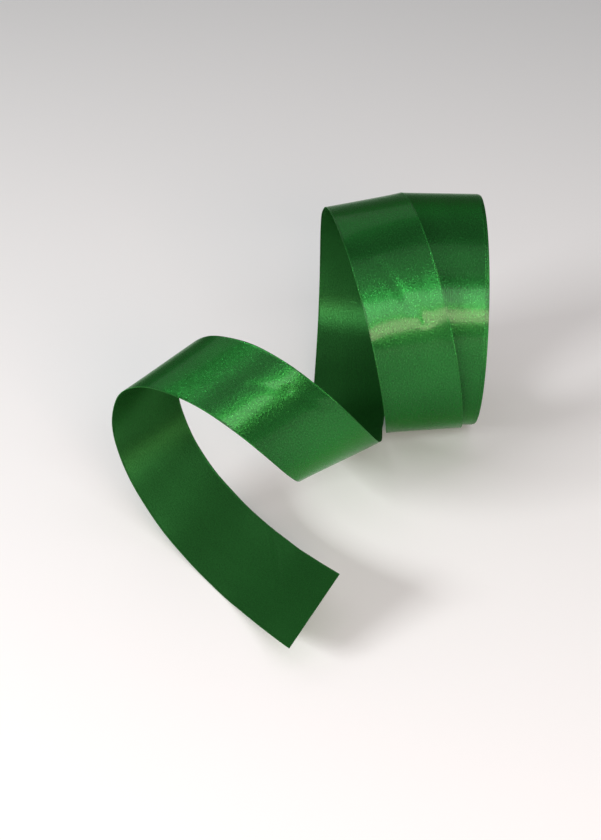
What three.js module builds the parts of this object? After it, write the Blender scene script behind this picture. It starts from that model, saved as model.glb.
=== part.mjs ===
import * as THREE from "three";

// Roll of satin ribbon standing on its rolling side, with its outer turn slipped off to the left and its free
// end curled out in front. Millimetres, Z up, X along the roll's axis towards its neat right end, and the
// front towards -Y. The origin is the middle of the flat spot that the roll stands on.

// Driving sizes of the ribbon and of the roll that it is wound into.
const RIBBON_WIDTH = 38;
const ROLL_RADIUS = 58.5;
const HOLE_RADIUS = 39;
const FLAT_DEPTH = 0.4;
const AXIS_HEIGHT = ROLL_RADIUS - FLAT_DEPTH;

// The roll's facets: steps round the axis, and how far its rims are eased.
const ROLL_STEPS = 96;
const RIM_EASE = 0.6;

// Bands of turns that slid a little along the axis, seen as shallow steps on both end faces. Slid is towards +X.
const TURN_BANDS = [
  { from: 39, to: 43, slid: 0.5 },
  { from: 43, to: 46.5, slid: -0.4 },
  { from: 46.5, to: 51, slid: 0.3 },
  { from: 51, to: 54.5, slid: -0.3 },
];

// The last turns, drawn to the left where the loose turn leaves: how far at the front's foot and at the back.
const LAST_TURNS_DEPTH = 2.6;
const LAST_TURNS_PULL_FRONT = 2;
const LAST_TURNS_PULL_BACK = 0.6;
const PULL_DIRECTION = THREE.MathUtils.degToRad(-60);

// The innermost turns have relaxed out of round by a little.
const HOLE_SLACK = 0.8;

// The loose end is a solid sheet of this thickness, longer than this many millimetres from where it leaves the
// roll's foot. Its first few millimetres are still part of the wound turns.
const SHEET_THICKNESS = 1;
const SHEET_START = 14;
const SHEET_END = 804;
const STATION_STEP = 4;
const PATH_STEP = 2;

// Where the ribbon's middle line leaves the foot of the roll, and how it points there, in degrees: rise above
// the surface, lean to the left, and flare of the left selvedge away from the roll.
const LEAVE_PLACE = new THREE.Vector3(-6, -12.6, -0.7);
const LEAVE_RISE = THREE.MathUtils.degToRad(12);
const LEAVE_LEAN = THREE.MathUtils.degToRad(2);
const LEAVE_FLARE = THREE.MathUtils.degToRad(1);

// The loose end's bends, a row for each 50 mm of ribbon. Turn is how many degrees the ribbon bends over a
// 50 mm stretch there, always towards its inner side. Skew is how many degrees the bend line across the ribbon
// leans back from square, which lets the ribbon travel to the left.
const BEND_PITCH = 50;
const BENDS = [
  { at: 0, turn: 30, skew: -16 },
  { at: 50, turn: 46, skew: -12 },
  { at: 100, turn: 50, skew: -4 },
  { at: 150, turn: 49, skew: 3 },
  { at: 200, turn: 39, skew: -10 },
  { at: 250, turn: 46, skew: -15 },
  { at: 300, turn: 57, skew: -1 },
  { at: 350, turn: 48, skew: 2 },
  { at: 400, turn: 10, skew: -38 },
  { at: 450, turn: 12, skew: -61 },
  { at: 500, turn: 42, skew: -31 },
  { at: 550, turn: 66, skew: -20 },
  { at: 600, turn: 69, skew: -20 },
  { at: 650, turn: 87, skew: -6 },
  { at: 700, turn: 37, skew: -18 },
  { at: 750, turn: 17, skew: -20 },
  { at: 800, turn: 7, skew: -26 },
];

// The right selvedge is drawn in by this much where the lower pass slips out past the loose turn's foot.
const NIP_DEPTH = 1.2;
const NIP_MIDDLE = 440;
const NIP_REACH = 60;

const WOUND_SATIN = new THREE.MeshStandardMaterial({ color: 0x1f7a33, roughness: 0.38, metalness: 0 });
const LOOSE_SATIN = new THREE.MeshStandardMaterial({ color: 0x23853a, roughness: 0.36, metalness: 0 });

// A smooth value between the rows of the bends, for one column.
function bendValue(column, run) {
  const last = BENDS.length - 1;
  const index = Math.min(Math.floor(run / BEND_PITCH), last - 1);
  const share = run / BEND_PITCH - index;
  const value = (row) => BENDS[THREE.MathUtils.clamp(row, 0, last)][column];
  const slopeIn = (value(index + 1) - value(index - 1)) / 2;
  const slopeOut = (value(index + 2) - value(index)) / 2;
  const square = share * share;
  const cube = square * share;
  const fromStart = (2 * cube - 3 * square + 1) * value(index) + (cube - 2 * square + share) * slopeIn;
  const fromEnd = (3 * square - 2 * cube) * value(index + 1) + (cube - square) * slopeOut;
  return fromStart + fromEnd;
}

// The direction along the ribbon and the one across it, towards its right selvedge, where it leaves the roll.
function leavingDirections() {
  const right = new THREE.Vector3(1, 0, 0);
  const forward = new THREE.Vector3(0, -Math.cos(LEAVE_RISE), Math.sin(LEAVE_RISE));
  const outward = new THREE.Vector3(0, -Math.sin(LEAVE_RISE), -Math.cos(LEAVE_RISE));
  const along = forward.clone().multiplyScalar(Math.cos(LEAVE_LEAN));
  along.addScaledVector(right, -Math.sin(LEAVE_LEAN));
  const across = right.clone().multiplyScalar(Math.cos(LEAVE_LEAN));
  across.addScaledVector(forward, Math.sin(LEAVE_LEAN));
  across.multiplyScalar(Math.cos(LEAVE_FLARE));
  across.addScaledVector(outward, -Math.sin(LEAVE_FLARE));
  return { along, across };
}

// Walks along the ribbon in short steps, bending it about its skewed bend line, and keeps a station each step.
function walkRibbon() {
  const place = LEAVE_PLACE.clone();
  const { along, across } = leavingDirections();
  const stations = [];
  for (let run = 0; run <= SHEET_END + PATH_STEP; run += PATH_STEP) {
    const skew = Math.tan(THREE.MathUtils.degToRad(bendValue("skew", run)));
    const ruling = across.clone().addScaledVector(along, skew);
    stations.push({ run, place: place.clone(), ruling, outward: across.clone().cross(along) });
    const bend = THREE.MathUtils.degToRad(bendValue("turn", run + PATH_STEP / 2) / BEND_PITCH) * PATH_STEP;
    const axis = ruling.clone().normalize();
    const before = along.clone();
    along.applyAxisAngle(axis, -bend * ruling.length());
    across.applyAxisAngle(axis, -bend * ruling.length());
    place.addScaledVector(before.add(along).normalize(), PATH_STEP);
  }
  return stations;
}

// A station between two kept ones.
function stationAt(stations, run) {
  const index = Math.min(Math.floor(run / PATH_STEP), stations.length - 2);
  const share = run / PATH_STEP - index;
  const near = stations[index];
  const far = stations[index + 1];
  return {
    place: near.place.clone().lerp(far.place, share),
    ruling: near.ruling.clone().lerp(far.ruling, share),
    outward: near.outward.clone().lerp(far.outward, share).normalize(),
  };
}

// How much of the ribbon's half width is left on the right where the selvedge is drawn in.
function rightHalf(run) {
  const reach = Math.min(Math.abs(run - NIP_MIDDLE) / NIP_REACH, 1);
  return RIBBON_WIDTH / 2 - (NIP_DEPTH * (1 + Math.cos(Math.PI * reach))) / 2;
}

// The four corners of the sheet's section at one place: outer left, outer right, inner right and inner left.
function sheetSection(stations, run) {
  const { place, ruling, outward } = stationAt(stations, run);
  const half = SHEET_THICKNESS / 2;
  const corner = (side, face) => {
    const reach = side > 0 ? rightHalf(run) : -RIBBON_WIDTH / 2;
    const point = place.clone().addScaledVector(ruling, reach);
    point.z = Math.max(point.z, half);
    point.addScaledVector(outward, face * half);
    point.z = Math.max(point.z, 0);
    return point;
  };
  return [corner(-1, 1), corner(1, 1), corner(1, -1), corner(-1, -1)];
}

// A closed geometry from rings of points: joined ring to ring, and either closed on itself or capped.
function geometryFromRings(rings, closed) {
  const count = rings[0].length;
  const positions = rings.flat().flatMap((point) => point.toArray());
  const triangles = [];
  const quad = (a, b, c, d) => triangles.push(a, b, c, a, c, d);
  const joins = closed ? rings.length : rings.length - 1;
  for (let ring = 0; ring < joins; ring += 1) {
    const here = ring * count;
    const next = ((ring + 1) % rings.length) * count;
    for (let point = 0; point < count; point += 1) {
      const beside = (point + 1) % count;
      quad(here + point, here + beside, next + beside, next + point);
    }
  }
  if (!closed) {
    const end = (rings.length - 1) * count;
    quad(3, 2, 1, 0);
    quad(end, end + 1, end + 2, end + 3);
  }
  const geometry = new THREE.BufferGeometry();
  geometry.setAttribute("position", new THREE.Float32BufferAttribute(positions, 3));
  geometry.setIndex(triangles);
  geometry.computeVertexNormals();
  return geometry;
}

// How far the last turns are drawn to the left at an angle round the axis, counted from the front upwards.
function lastTurnsPull(angle) {
  const share = (1 + Math.cos(angle - PULL_DIRECTION)) / 2;
  return THREE.MathUtils.lerp(LAST_TURNS_PULL_BACK, LAST_TURNS_PULL_FRONT, share);
}

// The roll's section at an angle round its axis, as pairs of radius and place along the axis.
function rollSection(angle) {
  const half = RIBBON_WIDTH / 2;
  const lastFrom = ROLL_RADIUS - LAST_TURNS_DEPTH;
  const pull = lastTurnsPull(angle);
  const rightFace = TURN_BANDS.flatMap(({ from, to, slid }) => [[from, half + slid], [to, half + slid]]);
  const leftFace = TURN_BANDS.flatMap(({ from, to, slid }) => [[from, -half + slid], [to, -half + slid]]);
  const lastTurns = [
    [lastFrom, half],
    [lastFrom, half - pull],
    [ROLL_RADIUS - RIM_EASE, half - pull],
    [ROLL_RADIUS, half - pull - RIM_EASE],
    [ROLL_RADIUS, -half + RIM_EASE],
    [ROLL_RADIUS - RIM_EASE, -half],
  ];
  const slack = HOLE_SLACK * Math.cos(2 * angle + 0.6);
  const section = [...leftFace, ...lastTurns.reverse(), ...rightFace.reverse()];
  return section.map(([radius, along]) => [radius === HOLE_RADIUS ? radius - slack : radius, along]);
}

// The wound turns, one solid: a thick ring about the roll's axis, flat where it stands.
function woundRoll() {
  const rings = [];
  for (let step = 0; step < ROLL_STEPS; step += 1) {
    const angle = (step / ROLL_STEPS) * 2 * Math.PI;
    const ring = rollSection(angle).map(([radius, along]) => {
      const height = AXIS_HEIGHT + radius * Math.sin(angle);
      return new THREE.Vector3(along, -radius * Math.cos(angle), Math.max(height, 0));
    });
    rings.push(ring);
  }
  const mesh = new THREE.Mesh(geometryFromRings(rings, true), WOUND_SATIN);
  mesh.name = "wound_roll";
  return mesh;
}

// The loose end, one solid sheet from the foot of the roll to the straight cut.
function looseEnd() {
  const stations = walkRibbon();
  const steps = Math.round((SHEET_END - SHEET_START) / STATION_STEP);
  const rings = [];
  for (let step = 0; step <= steps; step += 1) {
    const run = THREE.MathUtils.lerp(SHEET_START, SHEET_END, step / steps);
    rings.push(sheetSection(stations, run));
  }
  const mesh = new THREE.Mesh(geometryFromRings(rings, false), LOOSE_SATIN);
  mesh.name = "loose_end";
  return mesh;
}

const rollOfRibbon = new THREE.Group();
rollOfRibbon.add(woundRoll(), looseEnd());

export default rollOfRibbon;
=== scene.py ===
# Roll of green satin ribbon. It stands on its rolling side on a pale floor, with its outer turn slipped
# off to the left and its free end curled out in front. The shapes are worked out in millimetres and set
# down in metres.
import math

import bpy
from mathutils import Matrix, Vector

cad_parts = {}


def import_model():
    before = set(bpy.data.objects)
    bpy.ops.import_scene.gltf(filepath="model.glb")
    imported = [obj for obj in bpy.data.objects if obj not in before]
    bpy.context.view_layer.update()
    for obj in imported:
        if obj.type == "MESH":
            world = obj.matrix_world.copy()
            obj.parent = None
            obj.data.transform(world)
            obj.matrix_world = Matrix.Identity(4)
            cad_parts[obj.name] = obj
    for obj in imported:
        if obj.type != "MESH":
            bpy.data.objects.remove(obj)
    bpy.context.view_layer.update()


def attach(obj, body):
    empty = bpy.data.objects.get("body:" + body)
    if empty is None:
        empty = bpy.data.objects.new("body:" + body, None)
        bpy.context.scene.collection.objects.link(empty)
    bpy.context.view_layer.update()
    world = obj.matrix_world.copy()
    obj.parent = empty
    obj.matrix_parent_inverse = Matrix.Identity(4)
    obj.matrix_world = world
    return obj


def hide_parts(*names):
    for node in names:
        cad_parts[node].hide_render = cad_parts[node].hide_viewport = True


MM = 0.001

# Driving sizes, in millimetres. They are the same as the solid model's.
RIBBON_WIDTH = 38
ROLL_RADIUS = 58.5
HOLE_RADIUS = 39
FLAT_DEPTH = 0.4
AXIS_HEIGHT = ROLL_RADIUS - FLAT_DEPTH

# The wound turns: a spiral of one ribbon, with a hair of air between its turns.
TURN_PITCH = 0.25
TURN_THICKNESS = 0.21
TURN_STEPS = 120
LAST_TURN_ANGLE = math.radians(-78)

# Bands of turns that slid a little along the axis.
TURN_BANDS = [
    {"from": 39, "to": 43, "slid": 0.5},
    {"from": 43, "to": 46.5, "slid": -0.4},
    {"from": 46.5, "to": 51, "slid": 0.3},
    {"from": 51, "to": 54.5, "slid": -0.3},
]

# The wound turns wander along the axis in waves, given as height, pace for each turn and phase. They
# lie calmly over their last stretch of ribbon.
WANDER_WAVES = [(0.16, 1.7, 0), (0.12, 0.63, 1), (0.08, 4.1, 2)]
CALM_STRETCH = 900

# The last turns are drawn to the left: how far, over how much ribbon, and how slowly that dies away
# before it. The very last stretch is drawn further.
DRAWN_LEFT = 1.4
DRAWN_STRETCH = 300
DRAWN_FADE = 250
LAST_DRAWN_LEFT = 2.2
LAST_DRAWN_STRETCH = 60

# The turns settle where the roll stands, below this height. The innermost turns have relaxed out of
# round, and that dies away over this depth of turns.
SETTLED_HEIGHT = 3
HOLE_SLACK = 0.8
HOLE_SLACK_PHASE = 0.6
HOLE_SLACK_DEPTH = 6

# The loose end: its thickness, the stretch of ribbon that is loose, and its steps along and across.
LOOSE_THICKNESS = 0.3
LOOSE_START = 6
LOOSE_END = 804
PATH_STEP = 1
ACROSS_STEPS = 24

# Where the ribbon's middle line leaves the foot of the roll, and how it points there, in degrees.
LEAVE_PLACE = Vector((-6, -12.6, -0.7))
LEAVE_RISE = math.radians(12)
LEAVE_LEAN = math.radians(2)
LEAVE_FLARE = math.radians(1)

# The loose end's bends, a row for each 50 mm of ribbon. Turn is how many degrees the ribbon bends over
# a 50 mm stretch there. Skew is how many degrees the bend line across the ribbon leans back from
# square.
BEND_PITCH = 50
BENDS = [
    {"at": 0, "turn": 30, "skew": -16},
    {"at": 50, "turn": 46, "skew": -12},
    {"at": 100, "turn": 50, "skew": -4},
    {"at": 150, "turn": 49, "skew": 3},
    {"at": 200, "turn": 39, "skew": -10},
    {"at": 250, "turn": 46, "skew": -15},
    {"at": 300, "turn": 57, "skew": -1},
    {"at": 350, "turn": 48, "skew": 2},
    {"at": 400, "turn": 10, "skew": -38},
    {"at": 450, "turn": 12, "skew": -61},
    {"at": 500, "turn": 42, "skew": -31},
    {"at": 550, "turn": 66, "skew": -20},
    {"at": 600, "turn": 69, "skew": -20},
    {"at": 650, "turn": 87, "skew": -6},
    {"at": 700, "turn": 37, "skew": -18},
    {"at": 750, "turn": 17, "skew": -20},
    {"at": 800, "turn": 7, "skew": -26},
]

# The right selvedge is drawn in where the lower pass slips out past the loose turn's foot.
NIP_DEPTH = 1.2
NIP_MIDDLE = 440
NIP_REACH = 60

# Creases pressed into the loose end: from one place to another, each as run along and place across the
# ribbon, with the crease's half width and its depth. A crease has died away at this many of its half
# widths.
CREASE_REACHES = 2.5
CREASES = [
    {"from": (144, -6), "to": (117, 3), "reach": 1.7, "depth": 0.34},
    {"from": (140, 15), "to": (112, 9), "reach": 2.6, "depth": 0.2},
    {"from": (122, 5), "to": (110, 8), "reach": 1.6, "depth": 0.25},
    {"from": (563, 2), "to": (551, 9), "reach": 2.2, "depth": 0.3},
    {"from": (551, 9), "to": (536, 14), "reach": 2.6, "depth": 0.25},
    {"from": (583, -12), "to": (574, 1), "reach": 1.6, "depth": 0.12},
    {"from": (741, 19), "to": (776, -2), "reach": 0.8, "depth": 0.3},
]

# The faint flutter of the two selvedges in waves, given as height, length along the ribbon and phase.
LEFT_FLUTTER = [(0.16, 7.3, 0), (0.12, 4.1, 1.3)]
RIGHT_FLUTTER = [(0.15, 6.4, 0.7), (0.12, 3.7, 2.1)]

# Faces that meet at more than this angle meet in a sharp edge.
SHARP_ANGLE = math.radians(40)

# The camera: how it looks down, its roll, its distance from the plane through the roll's axis, how far
# it stands left of and below the line through the middle of the roll, and its focal length.
CAMERA_AIM_HEIGHT = 55.6
CAMERA_LOOKS_DOWN = math.radians(28)
CAMERA_ROLL = math.radians(1)
CAMERA_DISTANCE = 800
CAMERA_LEFT = 70
CAMERA_BELOW = 54
CAMERA_LENS = 67.4
CAMERA_SENSOR = 36
CAMERA_SEES_FROM = 0.01
CAMERA_SEES_TO = 100

# The floor: how far it reaches each way in metres, how pale and rough it is, and its own faint glow.
# Then the strength of the plain surround.
FLOOR_REACH = 4
FLOOR_COLOUR = (0.86, 0.86, 0.86, 1)
FLOOR_ROUGHNESS = 0.8
FLOOR_GLOW = 0.12
SURROUND_STRENGTH = 0.17

# The lights. Place is degrees up from the floor, degrees round from the front towards the right, and
# metres away. Size is metres across and up, and power is in watts.
WHITE = (1.0, 1.0, 1.0)
ROSE = (1.0, 0.7, 0.62)
LIGHTS = [
    {"name": "key", "place": (18, 10, 1.6), "size": (0.7, 0.34), "power": 10.5, "colour": ROSE},
    {"name": "upper_key", "place": (36, 16, 1.6), "size": (0.9, 0.44), "power": 5, "colour": WHITE},
    {"name": "left_fill", "place": (20, -55, 1.6), "size": (0.7, 0.3), "power": 20, "colour": WHITE},
    {"name": "back_fill", "place": (42, -140, 1.6), "size": (1.6, 0.8), "power": 2, "colour": WHITE},
    {"name": "overhead", "place": (72, 0, 1.8), "size": (2.2, 1.1), "power": 4.4, "colour": WHITE},
]

# The satins: the bright outer face, the duller inner face, and the dull cut edges of the wound turns. The
# inner face's darker green is partly the satin back's own duller tone and partly painted shade for the inner
# side of the curl.
FACE_SATIN = {
    "colour": (0.02, 0.18, 0.031),
    "selvedge": (0.024, 0.2, 0.035),
    "metallic": 0.9,
    "roughness": 0.29,
    "anisotropy": 0.92,
    "coat": 0.28,
    "coat_roughness": 0.15,
    "speckle": 1.0,
    "bump": 0.75,
}
BACK_SATIN = {
    # Darker green than the outer face: partly the back's own duller tone, partly painted shade.
    "colour": (0.024, 0.136, 0.029),
    "selvedge": (0.026, 0.146, 0.031),
    "metallic": 0.7,
    "roughness": 0.37,
    "anisotropy": 0.82,
    "coat": 0.03,
    "coat_roughness": 0.25,
    "speckle": 0.9,
    "bump": 0.6,
}
EDGE_SATIN = {
    "colour": (0.02, 0.15, 0.035),
    "selvedge": (0.03, 0.18, 0.05),
    "metallic": 0.0,
    "roughness": 0.6,
    "anisotropy": 0.0,
    "coat": 0.0,
    "coat_roughness": 0.3,
    "speckle": 0.2,
    "bump": 0.3,
}

# What the satins share: the level and tint of the plain shine, the quarter turn that lays the shine
# along the ribbon, how much smoother the glints are, and how far the threads stand up in metres.
SHINE_LEVEL = 0.25
SHINE_TINT = (0.3, 0.7, 0.32, 1)
SHINE_TURN = 0.25
GLINT_SMOOTHING = 0.18
THREAD_HEIGHT = 0.0002

# The weave, in waves or blotches for each millimetre along and across: the threads that lie on top, the
# grain and the broad clouds. The selvedge is this wide, with a woven loop at this pace along it.
THREAD_SCALE = (0.9, 6.0)
GRAIN_SCALE = (1.0, 1.5)
CLOUD_SCALE = (0.02, 0.06)
SELVEDGE_WIDTH = 0.75
SELVEDGE_SOFTNESS = 5
SELVEDGE_LOOP_PACE = 7.5


def bend_value(column, run):
    """A smooth value between the rows of the bends, for one column."""
    last = len(BENDS) - 1
    index = min(int(run // BEND_PITCH), last - 1)
    share = run / BEND_PITCH - index

    def value(row):
        return BENDS[max(0, min(row, last))][column]

    slope_in = (value(index + 1) - value(index - 1)) / 2
    slope_out = (value(index + 2) - value(index)) / 2
    square = share * share
    cube = square * share
    from_start = (2 * cube - 3 * square + 1) * value(index) + (cube - 2 * square + share) * slope_in
    from_end = (3 * square - 2 * cube) * value(index + 1) + (cube - square) * slope_out
    return from_start + from_end


def leaving_directions():
    """The directions along and across the ribbon where it leaves the roll."""
    right = Vector((1, 0, 0))
    forward = Vector((0, -math.cos(LEAVE_RISE), math.sin(LEAVE_RISE)))
    outward = Vector((0, -math.sin(LEAVE_RISE), -math.cos(LEAVE_RISE)))
    along = forward * math.cos(LEAVE_LEAN) - right * math.sin(LEAVE_LEAN)
    across = right * math.cos(LEAVE_LEAN) + forward * math.sin(LEAVE_LEAN)
    across = across * math.cos(LEAVE_FLARE) - outward * math.sin(LEAVE_FLARE)
    return along, across


def walk_ribbon():
    """Walks along the loose end, bending it about its skewed bend line, and keeps a station at each step."""
    place = LEAVE_PLACE.copy()
    along, across = leaving_directions()
    stations = []
    run = 0
    while run <= LOOSE_END:
        skew = math.tan(math.radians(bend_value("skew", run)))
        ruling = across + along * skew
        outward = across.cross(along)
        station = {"run": run, "place": place.copy(), "ruling": ruling, "outward": outward, "skew": skew}
        stations.append(station)
        bend = math.radians(bend_value("turn", run + PATH_STEP / 2)) / BEND_PITCH * PATH_STEP
        turning = Matrix.Rotation(-bend * ruling.length, 3, ruling.normalized())
        before = along.copy()
        along = turning @ along
        across = turning @ across
        place = place + (before + along).normalized() * PATH_STEP
        run += PATH_STEP
    return stations


def right_half(run):
    """How much of the ribbon's half width is left on the right where the selvedge is drawn in."""
    reach = min(abs(run - NIP_MIDDLE) / NIP_REACH, 1)
    return RIBBON_WIDTH / 2 - NIP_DEPTH * (1 + math.cos(math.pi * reach)) / 2


def crease_height(run, across):
    """How far the creases push the ribbon towards its inner side at one place."""
    height = 0
    for crease in CREASES:
        start = Vector(crease["from"])
        line = Vector(crease["to"]) - start
        share = (Vector((run, across)) - start).dot(line) / line.length_squared
        nearest = start + line * max(0, min(share, 1))
        distance = (Vector((run, across)) - nearest).length / crease["reach"]
        if distance < CREASE_REACHES:
            height += crease["depth"] * math.exp(-distance * distance)
    return height


def selvedge_wave(run, side):
    """The flutter of the two selvedges at one place, which dies out towards the middle of the ribbon."""
    edge = abs(side) ** 4
    waves = LEFT_FLUTTER if side < 0 else RIGHT_FLUTTER
    return edge * sum(height * math.sin(run / length + phase) for height, length, phase in waves)


def loose_surface():
    """Rows of points on the loose end's middle surface, each with its outward direction and its UV."""
    rows = []
    for station in walk_ribbon():
        if station["run"] < LOOSE_START:
            continue
        row = []
        for step in range(ACROSS_STEPS + 1):
            side = 2 * step / ACROSS_STEPS - 1
            half = right_half(station["run"]) if side > 0 else RIBBON_WIDTH / 2
            across = side * half
            lift = selvedge_wave(station["run"], side) - crease_height(station["run"], across)
            point = station["place"] + station["ruling"] * across + station["outward"] * lift
            point.z = max(point.z, LOOSE_THICKNESS / 2)
            uv = (station["run"] + across * station["skew"], RIBBON_WIDTH / 2 * (1 + side))
            row.append((point, station["outward"], uv))
        rows.append(row)
    return rows


def add_piece(name, points, faces, uvs, materials, material_of_face):
    """A mesh object from points in millimetres, with a UV in millimetres for each point."""
    mesh = bpy.data.meshes.new(name)
    mesh.from_pydata([point * MM for point in points], [], faces)
    layer = mesh.uv_layers.new(name="ribbon")
    for loop in mesh.loops:
        layer.data[loop.index].uv = uvs[loop.vertex_index]
    for material in materials:
        mesh.materials.append(material)
    for polygon, index in zip(mesh.polygons, material_of_face):
        polygon.material_index = index
        polygon.use_smooth = True
    mesh.update()
    mesh.set_sharp_from_angle(angle=SHARP_ANGLE)
    piece = bpy.data.objects.new(name, mesh)
    bpy.context.scene.collection.objects.link(piece)
    return piece


def sheet_points(rows):
    """The points and UVs of a thin sheet about its middle surface, the outer face first and then the inner."""
    points = []
    uvs = []
    for face in (1, -1):
        for row in rows:
            for point, outward, uv in row:
                surface = point + outward * (face * LOOSE_THICKNESS / 2)
                surface.z = max(surface.z, 0)
                points.append(surface)
                uvs.append(uv)
    return points, uvs


def sheet_faces(row_count):
    """The faces of the thin sheet, with 0 for each on its outer face and 1 for all the others."""
    wide = ACROSS_STEPS + 1
    inner = row_count * wide
    last = ACROSS_STEPS
    faces = []
    material_of_face = []

    def quad(corners, material):
        faces.append(corners)
        material_of_face.append(material)

    for index in range(row_count - 1):
        here = index * wide
        there = here + wide
        for step in range(ACROSS_STEPS):
            outer = [here + step, here + step + 1, there + step + 1, there + step]
            quad(outer, 0)
            quad([inner + corner for corner in reversed(outer)], 1)
        quad([here, there, inner + there, inner + here], 1)
        quad([here + last, inner + here + last, inner + there + last, there + last], 1)
    end = (row_count - 1) * wide
    for step in range(ACROSS_STEPS):
        quad([step + 1, step, inner + step, inner + step + 1], 1)
        quad([end + step, end + step + 1, inner + end + step + 1, inner + end + step], 1)
    return faces, material_of_face


def loose_ribbon(face_satin, back_satin):
    """The loose end as a thin closed sheet, bright on its outer face and dull on its inner one, whose darker
    green is partly painted shade.
    """
    rows = loose_surface()
    points, uvs = sheet_points(rows)
    faces, material_of_face = sheet_faces(len(rows))
    return add_piece("loose_ribbon", points, faces, uvs, [face_satin, back_satin], material_of_face)


def band_slide(radius):
    """How far the turns at a radius have slid along the axis as a band."""
    slide = 0
    for band in TURN_BANDS:
        if band["from"] <= radius < band["to"]:
            slide = band["slid"]
    return slide


def turn_slide(radius, angle, left_to_wind):
    """How far along the axis the wound ribbon lies at one place, with its last turns drawn to the left."""
    turn = angle / (2 * math.pi)
    wander = sum(height * math.sin(turn * pace + phase) for height, pace, phase in WANDER_WAVES)
    drawn = DRAWN_LEFT * math.exp(-max(left_to_wind - DRAWN_STRETCH, 0) / DRAWN_FADE)
    last = LAST_DRAWN_LEFT * max(1 - left_to_wind / LAST_DRAWN_STRETCH, 0) ** 2
    calm = min(left_to_wind / CALM_STRETCH, 1)
    return (band_slide(radius) + wander) * calm - drawn - last


def settled(height):
    """A height near the surface after the turns have flattened there, without crossing each other."""
    if height >= SETTLED_HEIGHT:
        return height
    depth = (SETTLED_HEIGHT - height) / (SETTLED_HEIGHT + FLAT_DEPTH)
    return height + FLAT_DEPTH * depth * depth


def hole_slack(radius, angle):
    """How far the innermost turns have relaxed inwards at one place."""
    share = max(0, 1 - (radius - HOLE_RADIUS) / HOLE_SLACK_DEPTH)
    return HOLE_SLACK * math.cos(2 * angle + HOLE_SLACK_PHASE) * share


def wound_section(radius, angle, slide):
    """The four corners of the wound ribbon at one place: outer left and right, inner right and left."""
    corners = []
    for side, deeper in ((-1, 0), (1, 0), (1, TURN_THICKNESS), (-1, TURN_THICKNESS)):
        here = radius - deeper
        here = here - hole_slack(here, angle)
        height = settled(AXIS_HEIGHT + here * math.sin(angle))
        corners.append(Vector((slide + side * RIBBON_WIDTH / 2, -here * math.cos(angle), height)))
    return corners


def wound_radius(step):
    """The radius of the spiral's outer face at one of its steps."""
    return HOLE_RADIUS + TURN_THICKNESS + TURN_PITCH * step / TURN_STEPS


def wound_lengths(steps):
    """How much ribbon is wound on at each step of the spiral."""
    lengths = [0]
    for step in range(steps):
        lengths.append(lengths[-1] + wound_radius(step) * 2 * math.pi / TURN_STEPS)
    return lengths


def wound_faces(steps):
    """The faces of the spiral, with 0 for the ribbon's two faces and 1 for its selvedges and ends."""
    faces = []
    material_of_face = []
    for step in range(steps):
        here = step * 4
        there = here + 4
        for corner, material in enumerate((0, 1, 0, 1)):
            beside = (corner + 1) % 4
            faces.append([here + corner, here + beside, there + beside, there + corner])
            material_of_face.append(material)
    end = steps * 4
    faces.append([3, 2, 1, 0])
    faces.append([end, end + 1, end + 2, end + 3])
    material_of_face.extend([1, 1])
    return faces, material_of_face


def wound_turns(face_satin, edge_satin):
    """The wound turns as one long spiral, from the hole to the foot where the loose end leaves."""
    turns = (ROLL_RADIUS - HOLE_RADIUS - TURN_THICKNESS) / TURN_PITCH
    steps = int(turns * TURN_STEPS)
    lengths = wound_lengths(steps)
    points = []
    uvs = []
    for step in range(steps + 1):
        turn_angle = 2 * math.pi * (step - steps) / TURN_STEPS
        radius = wound_radius(step)
        slide = turn_slide(radius, turn_angle, lengths[-1] - lengths[step])
        points.extend(wound_section(radius, LAST_TURN_ANGLE + turn_angle, slide))
        for across in (0, RIBBON_WIDTH, RIBBON_WIDTH, 0):
            uvs.append((lengths[step] - lengths[-1], across))
    faces, material_of_face = wound_faces(steps)
    return add_piece("wound_turns", points, faces, uvs, [face_satin, edge_satin], material_of_face)


def new_group(name, inputs, outputs):
    """An empty shader node group with its named inputs and outputs."""
    group = bpy.data.node_groups.new(name, "ShaderNodeTree")
    for socket, value in inputs.items():
        group.interface.new_socket(socket, in_out="INPUT", socket_type="NodeSocketFloat").default_value = value
    for socket in outputs:
        group.interface.new_socket(socket, in_out="OUTPUT", socket_type="NodeSocketFloat")
    return group


def feed(tree, given, target):
    """Joins a socket to the target, or sets a number on it."""
    if isinstance(given, (int, float)):
        target.default_value = given
    else:
        tree.links.new(given, target)


def math_node(tree, operation, first, second=0.0, third=0.0):
    """A math node's result."""
    node = tree.nodes.new("ShaderNodeMath")
    node.operation = operation
    for target, given in zip(node.inputs, (first, second, third)):
        feed(tree, given, target)
    return node.outputs[0]


def ribbon_place(tree):
    """The place on the ribbon, in millimetres along and across."""
    uv = tree.nodes.new("ShaderNodeUVMap")
    uv.uv_map = "ribbon"
    return uv.outputs["UV"]


def ribbon_noise(tree, scale, detail):
    """A noise value over the ribbon, scaled along and across."""
    place = tree.nodes.new("ShaderNodeMapping")
    place.inputs["Scale"].default_value = (*scale, 1)
    tree.links.new(ribbon_place(tree), place.inputs["Vector"])
    node = tree.nodes.new("ShaderNodeTexNoise")
    node.inputs["Scale"].default_value = 1.0
    node.inputs["Detail"].default_value = detail
    tree.links.new(place.outputs["Vector"], node.inputs["Vector"])
    return node.outputs["Fac"]


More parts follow.
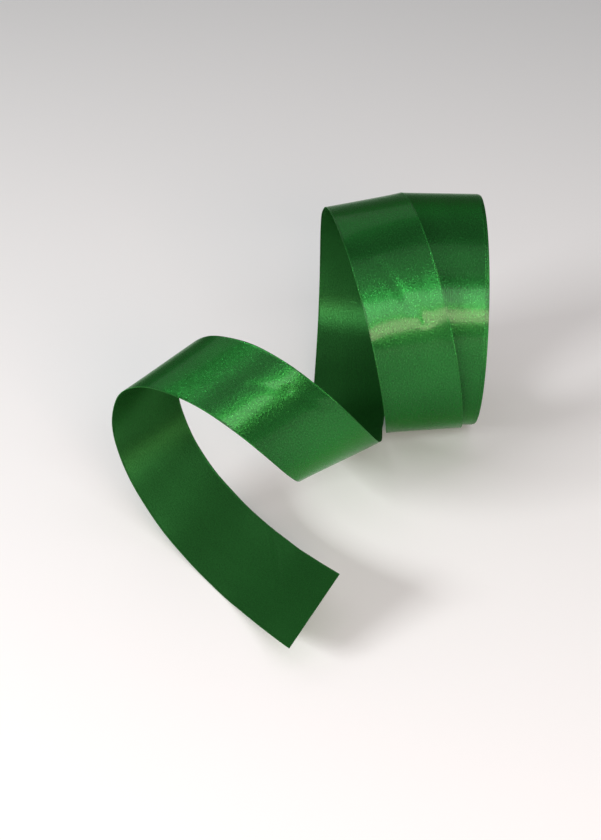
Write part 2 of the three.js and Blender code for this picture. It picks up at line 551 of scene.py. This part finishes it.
def selvedge_nodes(group):
    """How much of a selvedge there is at one place, from 0 to 1, and how far its woven loops rise."""
    parts = group.nodes.new("ShaderNodeSeparateXYZ")
    group.links.new(ribbon_place(group), parts.inputs[0])
    middle = RIBBON_WIDTH / 2
    from_middle = math_node(group, "ABSOLUTE", math_node(group, "SUBTRACT", parts.outputs["Y"], middle))
    edge = math_node(group, "SUBTRACT", from_middle, middle - SELVEDGE_WIDTH)
    rising = math_node(group, "MAXIMUM", math_node(group, "MULTIPLY", edge, SELVEDGE_SOFTNESS), 0)
    selvedge = math_node(group, "MINIMUM", rising, 1)
    loops = math_node(group, "SINE", math_node(group, "MULTIPLY", parts.outputs["X"], SELVEDGE_LOOP_PACE))
    rise = math_node(group, "MULTIPLY", selvedge, math_node(group, "MULTIPLY_ADD", loops, 0.4, 1.2))
    return selvedge, rise


def satin_group():
    """The satin's weave: how high the threads stand, how the green varies, the selvedges and the glints."""
    group = new_group("satin_weave", {"Speckle": 1.0}, ["Height", "Shade", "Selvedge", "Glint"])
    entry = group.nodes.new("NodeGroupInput")
    out = group.nodes.new("NodeGroupOutput")
    threads = ribbon_noise(group, THREAD_SCALE, 2)
    grain = ribbon_noise(group, GRAIN_SCALE, 1)
    clouds = ribbon_noise(group, CLOUD_SCALE, 2)
    selvedge, selvedge_rise = selvedge_nodes(group)
    height = math_node(group, "ADD", math_node(group, "MULTIPLY_ADD", grain, 0.8, threads), selvedge_rise)
    speckle = math_node(group, "MULTIPLY", math_node(group, "SUBTRACT", grain, 0.5), entry.outputs["Speckle"])
    shade = math_node(group, "ADD", math_node(group, "MULTIPLY_ADD", clouds, 0.3, 0.85), speckle)
    bright_grain = math_node(group, "MULTIPLY", math_node(group, "SUBTRACT", grain, 0.6), 4)
    glint = math_node(group, "MAXIMUM", bright_grain, 0)
    for socket, result in (("Height", height), ("Shade", shade), ("Selvedge", selvedge), ("Glint", glint)):
        group.links.new(result, out.inputs[socket])
    return group


def tinted(tree, weave, colour, selvedge_colour):
    """The thread's colour, lighter and darker with the weave, and lighter along the selvedges."""
    plain = tree.nodes.new("ShaderNodeMix")
    plain.data_type = "RGBA"
    plain.inputs["A"].default_value = (*colour, 1)
    plain.inputs["B"].default_value = (*selvedge_colour, 1)
    tree.links.new(weave.outputs["Selvedge"], plain.inputs["Factor"])
    scaled = tree.nodes.new("ShaderNodeVectorMath")
    scaled.operation = "SCALE"
    tree.links.new(plain.outputs["Result"], scaled.inputs[0])
    tree.links.new(weave.outputs["Shade"], scaled.inputs["Scale"])
    return scaled.outputs[0]


def set_shine(shader, look):
    """Sets the shine values that are the same all over the ribbon."""
    shader.inputs["Metallic"].default_value = look["metallic"]
    shader.inputs["Specular IOR Level"].default_value = SHINE_LEVEL
    shader.inputs["Specular Tint"].default_value = SHINE_TINT
    shader.inputs["Anisotropic"].default_value = look["anisotropy"]
    shader.inputs["Anisotropic Rotation"].default_value = SHINE_TURN
    shader.inputs["Coat Weight"].default_value = look["coat"]
    shader.inputs["Coat Roughness"].default_value = look["coat_roughness"]


def satin(name, weave_group, look):
    """A satin material with one of the three looks."""
    material = bpy.data.materials.new(name)
    material.use_nodes = True
    tree = material.node_tree
    shader = tree.nodes["Principled BSDF"]
    set_shine(shader, look)
    weave = tree.nodes.new("ShaderNodeGroup")
    weave.node_tree = weave_group
    weave.inputs["Speckle"].default_value = look["speckle"]
    tree.links.new(tinted(tree, weave, look["colour"], look["selvedge"]), shader.inputs["Base Color"])
    rough = math_node(tree, "MULTIPLY_ADD", weave.outputs["Glint"], -GLINT_SMOOTHING, look["roughness"])
    tree.links.new(rough, shader.inputs["Roughness"])
    tangent = tree.nodes.new("ShaderNodeTangent")
    tangent.direction_type = "UV_MAP"
    tangent.uv_map = "ribbon"
    tree.links.new(tangent.outputs["Tangent"], shader.inputs["Tangent"])
    bump = tree.nodes.new("ShaderNodeBump")
    bump.inputs["Strength"].default_value = look["bump"]
    bump.inputs["Distance"].default_value = THREAD_HEIGHT
    tree.links.new(weave.outputs["Height"], bump.inputs["Height"])
    tree.links.new(bump.outputs["Normal"], shader.inputs["Normal"])
    return material


def camera():
    """The camera at the photograph's angle."""
    right = Vector((1, 0, 0))
    back = Vector((0, -math.cos(CAMERA_LOOKS_DOWN), math.sin(CAMERA_LOOKS_DOWN)))
    up = back.cross(right)
    rolled_right = right * math.cos(CAMERA_ROLL) + up * math.sin(CAMERA_ROLL)
    rolled_up = up * math.cos(CAMERA_ROLL) - right * math.sin(CAMERA_ROLL)
    place = Vector((0, 0, CAMERA_AIM_HEIGHT)) + back * CAMERA_DISTANCE
    place = place - rolled_right * CAMERA_LEFT - rolled_up * CAMERA_BELOW
    data = bpy.data.cameras.new("camera")
    data.lens = CAMERA_LENS
    data.sensor_width = CAMERA_SENSOR
    data.clip_start = CAMERA_SEES_FROM
    data.clip_end = CAMERA_SEES_TO
    eye = bpy.data.objects.new("camera", data)
    turned = Matrix((rolled_right, rolled_up, back)).transposed()
    eye.matrix_world = Matrix.Translation(place * MM) @ turned.to_4x4()
    bpy.context.scene.collection.objects.link(eye)
    bpy.context.scene.camera = eye


def area_light(name, place, size, power, colour):
    """A soft light that looks at the middle of the roll."""
    elevation, azimuth, distance = place
    high = math.radians(elevation)
    round_it = math.radians(azimuth)
    front = -math.cos(round_it) * math.cos(high)
    back = Vector((math.sin(round_it) * math.cos(high), front, math.sin(high)))
    data = bpy.data.lights.new(name, "AREA")
    data.shape = "RECTANGLE"
    data.size = size[0]
    data.size_y = size[1]
    data.energy = power
    data.color = colour
    light = bpy.data.objects.new(name, data)
    light.location = Vector((0, 0, AXIS_HEIGHT * MM)) + back * distance
    light.rotation_mode = "QUATERNION"
    light.rotation_quaternion = back.to_track_quat("Z", "Y")
    bpy.context.scene.collection.objects.link(light)
    return light


def floor():
    """A plain pale floor, well wider than the view."""
    mesh = bpy.data.meshes.new("floor")
    reach = FLOOR_REACH
    corners = [(-reach, -reach, 0), (reach, -reach, 0), (reach, reach, 0), (-reach, reach, 0)]
    mesh.from_pydata(corners, [], [(0, 1, 2, 3)])
    material = bpy.data.materials.new("floor_white")
    material.use_nodes = True
    shader = material.node_tree.nodes["Principled BSDF"]
    shader.inputs["Base Color"].default_value = FLOOR_COLOUR
    shader.inputs["Roughness"].default_value = FLOOR_ROUGHNESS
    shader.inputs["Emission Color"].default_value = (*WHITE, 1)
    shader.inputs["Emission Strength"].default_value = FLOOR_GLOW
    mesh.materials.append(material)
    plane = bpy.data.objects.new("floor", mesh)
    bpy.context.scene.collection.objects.link(plane)
    return plane


def world():
    """A plain, dim surround."""
    surround = bpy.data.worlds.new("surround")
    surround.use_nodes = True
    background = surround.node_tree.nodes["Background"]
    background.inputs["Color"].default_value = (*WHITE, 1)
    background.inputs["Strength"].default_value = SURROUND_STRENGTH
    bpy.context.scene.world = surround


bpy.context.scene.view_settings.view_transform = "Standard"
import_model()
camera()
world()
stage_pieces = [floor()]
for light in LIGHTS:
    stage_pieces.append(area_light(**light))

weave_group = satin_group()
face_satin = satin("satin_face", weave_group, FACE_SATIN)
back_satin = satin("satin_back", weave_group, BACK_SATIN)
edge_satin = satin("satin_edge", weave_group, EDGE_SATIN)

roll = wound_turns(face_satin, edge_satin)
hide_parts("wound_roll")
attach(roll, "root")

ribbon = loose_ribbon(face_satin, back_satin)
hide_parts("loose_end")
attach(ribbon, "root")
